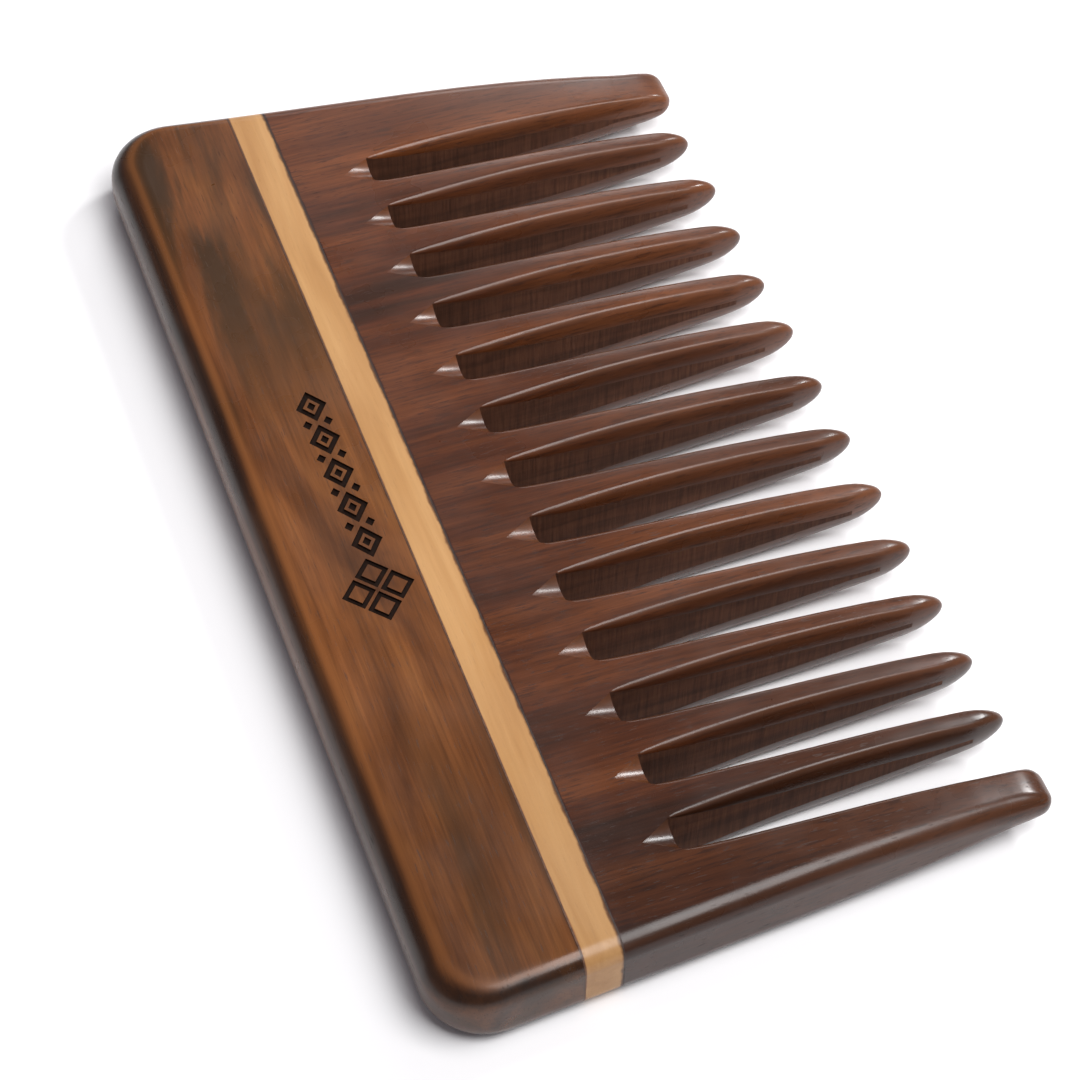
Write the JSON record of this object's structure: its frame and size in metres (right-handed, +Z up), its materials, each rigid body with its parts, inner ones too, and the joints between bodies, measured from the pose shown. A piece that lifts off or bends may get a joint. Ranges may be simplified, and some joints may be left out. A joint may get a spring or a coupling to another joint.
{
  "type": "wide tooth comb",
  "caption": "Flat wooden hair comb with a long-grain back, a pale inlaid strip and a board of wide tapered teeth between two blunt guard teeth.",
  "frame": {"origin": "under the middle of the comb's length and width, on the surface that it lies on", "axes": "+X along the back, +Y from the back to the tooth tips, +Z up through the comb's thickness"},
  "size_m": [0.1512, 0.0816, 0.01],
  "materials": {
    "dark_wood": "oiled satin, grain along the back",
    "red_brown_wood": "oiled satin, grain along the teeth",
    "pale_wood": "oiled satin, fine even grain",
    "pin_wood": "plain, unfinished",
    "glue": "dark hardened wood glue"
  },
  "bodies": {
    "root": {"spine": "dark_wood", "back_glue_line": "glue", "light_strip": "pale_wood", "front_glue_line": "glue", "tooth_board": "red_brown_wood", "dowel_pin_1": "pin_wood", "dowel_pin_2": "pin_wood", "dowel_pin_3": "pin_wood", "dowel_pin_4": "pin_wood"}
  },
  "joints": []
}
